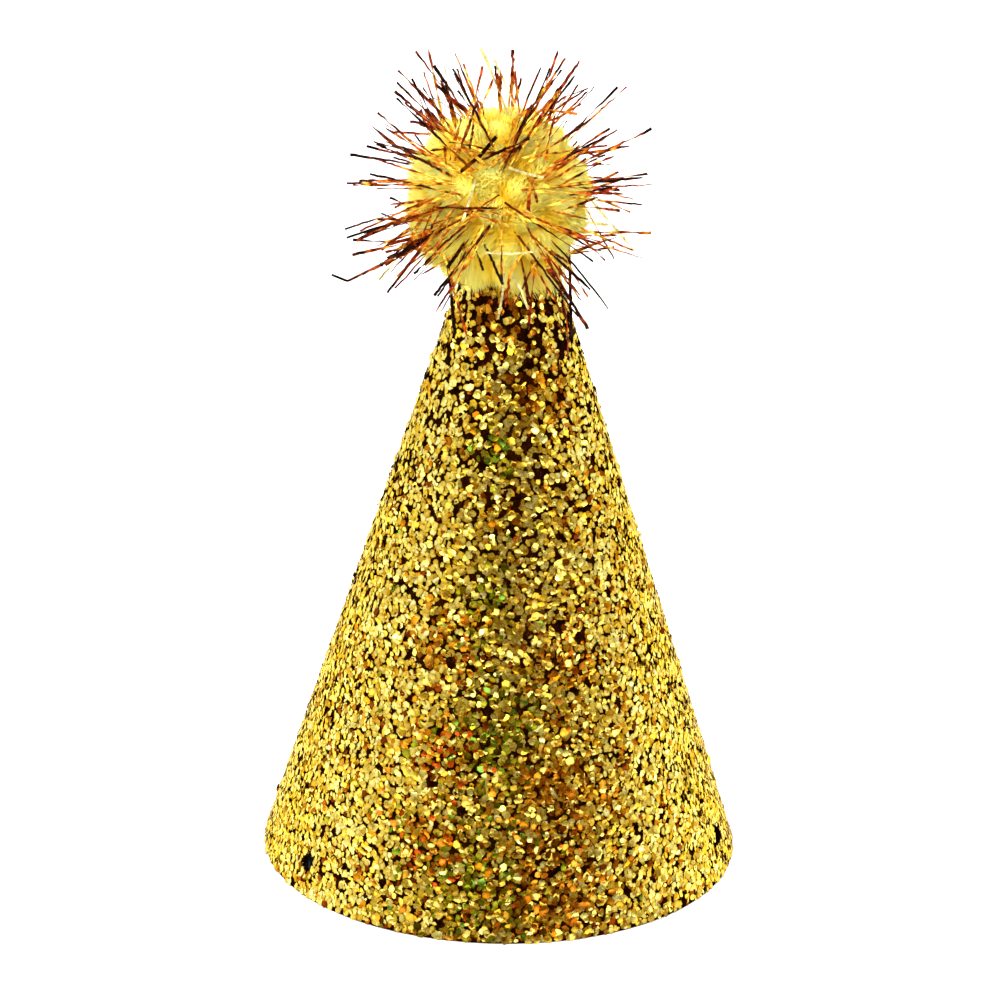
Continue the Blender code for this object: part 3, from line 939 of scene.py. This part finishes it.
def foil_strip(path, width, twist, facing, tints):
    """A thin closed strip of foil along a path, twisting as it goes from where it faces one way."""
    tangent = unit(np.gradient(path, axis=0))
    side = unit(np.cross(tangent, facing))
    up = np.cross(side, tangent)
    angle = twist * np.linspace(0.0, 1.0, len(path))[:, None]
    flat = side * np.cos(angle) + up * np.sin(angle)
    thick = np.cross(tangent, flat)
    half = width / 2.0
    slim = STRAND_THICKNESS / 2.0
    rings = np.stack([
        path - flat * half - thick * slim,
        path + flat * half - thick * slim,
        path + flat * half + thick * slim,
        path - flat * half + thick * slim,
    ], axis=1)
    faces = [(3, 2, 1, 0)]
    for ring in range(len(path) - 1):
        here = ring * 4
        for corner in range(4):
            after = (corner + 1) % 4
            faces.append((here + corner, here + after, here + 4 + after, here + 4 + corner))
    last = (len(path) - 1) * 4
    faces.append((last, last + 1, last + 2, last + 3))
    return rings.reshape(-1, 3), faces, np.repeat(tints, 4, axis=0)


def foil_tints(kind, phase, chance):
    """Colours along a strand: gold near the plush, darker outwards, mottled with painted highlights and
    shade of its twisting foil.
    """
    stops = np.array(FOIL_STOPS[kind])
    share = np.linspace(0.0, 1.0, STRAND_STEPS)
    last = len(stops) - 1
    mottle = chance.normal(0.0, FOIL_MOTTLE, STRAND_STEPS)
    where = np.clip(share * last * FOIL_PACE + phase + mottle, 0.0, last)
    low = np.minimum(where.astype(int), last - 1)
    part = (where - low)[:, None]
    colours = stops[low] * (1.0 - part) + stops[low + 1] * part
    return np.clip(colours * chance.uniform(*FOIL_SHADES, (STRAND_STEPS, 1)), 0.0, 1.0)


class Strands:
    """Collects foil strands and makes one mesh piece of them."""

    def __init__(self, cone, chance):
        self.cone = cone
        self.chance = chance
        self.verts = []
        self.faces = []
        self.tints = []
        self.count = 0

    def add(self, path, kind, width, twist=STRAND_TWIST, facing=None):
        """Adds a strand, pushed out where it would run through the cone."""
        chance = self.chance
        colours = foil_tints(kind, chance.uniform(-0.5, 0.5), chance)
        turn = chance.normal(0.0, twist)
        if facing is None:
            facing = chance.normal(0.0, 1.0, 3)
        self.cone.push_out(path, CONE_CLEARANCE)
        verts, faces, tints = foil_strip(path, width, turn, facing, colours)
        self.faces += [tuple(index + self.count for index in face) for face in faces]
        self.verts.append(verts)
        self.tints.append(tints)
        self.count += len(verts)

    def piece(self, name, surface):
        verts = np.concatenate(self.verts)
        tints = np.concatenate(self.tints)
        return mesh_piece(name, verts, self.faces, surface, tints)


def make_spray(name, node, centre, cone, surface, chance):
    """Clumps of loose foil strands that leave the ball where their CAD bunch does."""
    points = np.array([v.co for v in node.data.vertices]) - centre
    reach = np.linalg.norm(points, axis=1)
    stem = points[reach < reach.min() + STEM_BAND].mean(axis=0)
    outward = stem / np.linalg.norm(stem)
    strands = Strands(cone, chance)
    for clump in range(CLUMPS_PER_SPRAY):
        clump_aim = unit(outward + chance.normal(0.0, CLUMP_STRAY, 3))
        clump_root = centre + outward * ROOT_DEPTH + chance.normal(0.0, CLUMP_SPREAD, 3)
        length = chance.uniform(*CLUMP_REACH)
        kind = pick_foil(chance)
        for strand in range(chance.integers(*STRANDS_PER_CLUMP)):
            root = clump_root + chance.normal(0.0, STRAND_SPREAD, 3)
            aim = unit(clump_aim + chance.normal(0.0, STRAND_STRAY, 3))
            tip = centre + aim * length * chance.uniform(*STRAND_REACH)
            kink = None
            if chance.uniform() < KINK_SHARE:
                kink = (chance.uniform(*KINK_PLACES), chance.normal(0.0, KINK_SIZE, 3))
            path = strand_path(root, tip, chance.uniform(-SPRAY_BOW, SPRAY_BOW), kink, chance)
            if chance.uniform() < NEW_KIND_SHARE:
                kind = pick_foil(chance)
            strands.add(path, kind, chance.uniform(*STRAND_WIDTH))
    return strands.piece(name, surface)


def in_front(place, centre):
    """A place given as (across, up, towards the front) in mm, in the world."""
    across, up, toward = place
    offset = np.array((
        across,
        up * math.sin(CAMERA_DIP) - toward * math.cos(CAMERA_DIP),
        up * math.cos(CAMERA_DIP) + toward * math.sin(CAMERA_DIP),
    ))
    return centre + offset * MM


def bent_path(corners):
    """A strand's points along a bent line of corners."""
    stops = np.arange(len(corners))
    share = np.linspace(0.0, stops[-1], STRAND_STEPS)
    return np.stack([np.interp(share, stops, corners[:, axis]) for axis in range(3)], axis=1)


def make_swept(name, centre, cone, surface, chance):
    """The strands that lie over the front of the ball."""
    strands = Strands(cone, chance)
    toward = in_front((0.0, 0.0, 1.0), centre) - centre
    for corners, kind, width in LOOSE_STRANDS:
        places = np.array([in_front(corner, centre) for corner in corners])
        strands.add(bent_path(places), kind, width * MM, twist=LOOSE_TWIST, facing=toward)
    for start, end in SWEPT_CLUMPS:
        for strand in range(STRANDS_PER_SWEEP):
            root = in_front(start, centre) + chance.normal(0.0, SWEPT_START_SPREAD, 3)
            tip = in_front(end, centre) + chance.normal(0.0, SWEPT_END_SPREAD, 3)
            kind = SWEPT_KINDS[strand % len(SWEPT_KINDS)]
            path = strand_path(root, tip, chance.uniform(-SWEPT_BOW, SWEPT_BOW), None, chance)
            strands.add(path, kind, chance.uniform(*SWEPT_WIDTH))
    return strands.piece(name, surface)


# ---------------------------------------------------------------- studio

def make_floor():
    """A white floor, with a glow away from the hat that fades it into the backdrop."""
    made, tree, shader = new_material("studio_floor")
    set_inputs(shader, {"Base Color": (FLOOR_GREY, FLOOR_GREY, FLOOR_GREY, 1.0), "Roughness": 0.9})
    coords = add_node(tree, "ShaderNodeTexCoord")
    reach = add_node(tree, "ShaderNodeVectorMath", operation="LENGTH")
    tree.links.new(coords.outputs["Object"], reach.inputs[0])
    distance = reach.outputs["Value"]
    glow = range_node(tree, distance, 0.0, FLOOR_GLOW, FLOOR_GLOW_FROM, FLOOR_GLOW_FULL)
    tree.links.new(glow.outputs["Result"], shader.inputs["Emission Strength"])
    set_inputs(shader, {"Emission Color": (1.0, 1.0, 1.0, 1.0)})
    mesh = bpy.data.meshes.new("floor")
    bm = bmesh.new()
    bmesh.ops.create_circle(bm, cap_ends=True, segments=FLOOR_SIDES, radius=FLOOR_RADIUS)
    bm.to_mesh(mesh)
    bm.free()
    mesh.materials.append(made)
    add_object("floor", mesh)


def make_world():
    """A white studio with a warm dark opening in front and a little to the right."""
    world = bpy.data.worlds.new("studio")
    bpy.context.scene.world = world
    world.use_nodes = True
    tree = world.node_tree
    tree.nodes.clear()
    coords = tree.nodes.new("ShaderNodeTexCoord")
    toward = add_node(tree, "ShaderNodeVectorMath", operation="DOT_PRODUCT")
    toward.inputs[1].default_value = OPENING
    tree.links.new(coords.outputs["Generated"], toward.inputs[0])
    shade = ramp_node(tree, toward.outputs["Value"], STUDIO_STOPS)
    studio = tree.nodes.new("ShaderNodeBackground")
    tree.links.new(shade.outputs["Color"], studio.inputs["Color"])
    set_inputs(studio, {"Strength": STUDIO_STRENGTH})
    backdrop = tree.nodes.new("ShaderNodeBackground")
    set_inputs(backdrop, {"Strength": 1.0, "Color": (1.0, 1.0, 1.0, 1.0)})
    path = tree.nodes.new("ShaderNodeLightPath")
    mix = tree.nodes.new("ShaderNodeMixShader")
    tree.links.new(path.outputs["Is Camera Ray"], mix.inputs["Fac"])
    tree.links.new(studio.outputs["Background"], mix.inputs[1])
    tree.links.new(backdrop.outputs["Background"], mix.inputs[2])
    output = tree.nodes.new("ShaderNodeOutputWorld")
    tree.links.new(mix.outputs["Shader"], output.inputs["Surface"])


def add_lamp(name, place, target, size, power, in_reflections):
    lamp = bpy.data.lights.new(name, "AREA")
    lamp.shape = "DISK"
    lamp.size = size
    lamp.energy = power
    made = add_object(name, lamp)
    made.location = place
    made.rotation_mode = "QUATERNION"
    made.rotation_quaternion = (Vector(place) - Vector(target)).to_track_quat("Z", "Y")
    made.visible_camera = False
    made.visible_glossy = in_reflections


def make_camera():
    lens = bpy.data.cameras.new("camera")
    lens.lens = CAMERA_LENS
    lens.sensor_width = SENSOR
    lens.clip_start = CLIP_START
    camera = add_object("camera", lens)
    forward = Vector((0.0, math.cos(CAMERA_DIP), -math.sin(CAMERA_DIP)))
    level_up = Vector((0.0, math.sin(CAMERA_DIP), math.cos(CAMERA_DIP)))
    level_right = Vector((1.0, 0.0, 0.0))
    right = level_right * math.cos(CAMERA_ROLL) + level_up * math.sin(CAMERA_ROLL)
    up = level_up * math.cos(CAMERA_ROLL) - level_right * math.sin(CAMERA_ROLL)
    turn = Matrix((right, up, -forward)).transposed().to_4x4()
    camera.matrix_world = Matrix.Translation(CAMERA_PLACE) @ turn
    bpy.context.scene.camera = camera


def set_surface(node, surface):
    node.data.materials.clear()
    node.data.materials.append(surface)
    node.data.shade_smooth()
    node.data.set_sharp_from_angle(angle=SHARP_ANGLE)


def stain_and_shade_card(node, cone, stain_and_shade):
    """Gives the stained look to the card's bonded face, and painted shade to the walls of the punched
    holes.
    """
    node.data.materials.append(stain_and_shade)
    holes = hole_middles(cone)
    for face in node.data.polygons:
        outward = cone.normal(math.atan2(face.center.y, face.center.x))
        facing = face.normal.dot(outward)
        near = min((face.center - middle).length for middle, axis in holes) < HOLE_SHADE_REACH
        if facing > STAIN_AND_SHADE_FACING or (near and facing > -STAIN_AND_SHADE_FACING):
            face.material_index = 1


def main():
    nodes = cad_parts
    low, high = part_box("pompom_plush")
    centre = np.array((low + high) / 2.0)
    centre[2] = high.z - (high.x - low.x) / 2.0
    cone = Cone(nodes["glitter_face"])

    set_surface(nodes["card_cone"], card_material())
    stain_and_shade_card(nodes["card_cone"], cone, stain_and_shade_material())
    set_surface(nodes["glitter_face"], resin_material())
    set_surface(nodes["seam_glue"], glue_material())
    set_surface(nodes["glue_plug"], glue_material())
    set_surface(nodes["pompom_tie"], thread_material())

    flake_foil = tinted_foil(
        "flake_foil", roughness=0.26, metallic=1.0, edge=(1.0, 0.85, 0.42), coat=0.04,
        grain_scale=1400.0, grain_low=0.78,
    )
    chance = np.random.default_rng(FLAKE_SEED)
    noise.seed_set(FLAKE_SEED)
    for name, layer in (("glitter_flakes_under", UNDER_LAYER), ("glitter_flakes_top", TOP_LAYER)):
        flakes = make_flakes(name, cone, layer, flake_foil, chance)
        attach(flakes, BODY)

    # The core's darker, ochre yarn is painted shade of the ball's depths
    core_shade_yarn = plush_material("plush_core_shaded_yarn", (0.66, 0.38, 0.02), (0.90, 0.62, 0.05))
    yarn = plush_material("plush_yarn", (0.98, 0.80, 0.08), (1.0, 0.95, 0.21))
    core = make_core("plush_core", centre, cone, core_shade_yarn)
    plush = [core]
    chance = np.random.default_rng(YARN_SEED)
    plan = plan_tufts(chance)
    for name, reach_out in zip(FIBRE_SETS, FIBRE_TOPS):
        plush.append(make_fibres(name, reach_out, plan, centre, cone, yarn, chance))
    for piece in plush:
        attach(piece, BODY)
    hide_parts("pompom_plush")

    foil = tinted_foil(
        "tinsel_foil", roughness=0.26, metallic=0.70, edge=(1.0, 0.50, 0.20), coat=0.0,
        grain_scale=700.0, grain_low=0.55,
    )
    chance = np.random.default_rng(FOIL_SEED)
    bunches = sorted(name for name in nodes if name.startswith("tinsel_bunch_"))
    for bunch in bunches:
        name = bunch.replace("bunch", "spray")
        spray = make_spray(name, nodes[bunch], centre, cone, foil, chance)
        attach(spray, BODY)
        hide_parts(bunch)
    swept = make_swept("tinsel_swept", centre, cone, foil, chance)
    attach(swept, BODY)

    make_floor()
    make_world()
    for lamp in LAMPS:
        add_lamp(*lamp)
    make_camera()
    settings = bpy.context.scene.view_settings
    settings.view_transform = "Standard"
    settings.look = "None"


main()
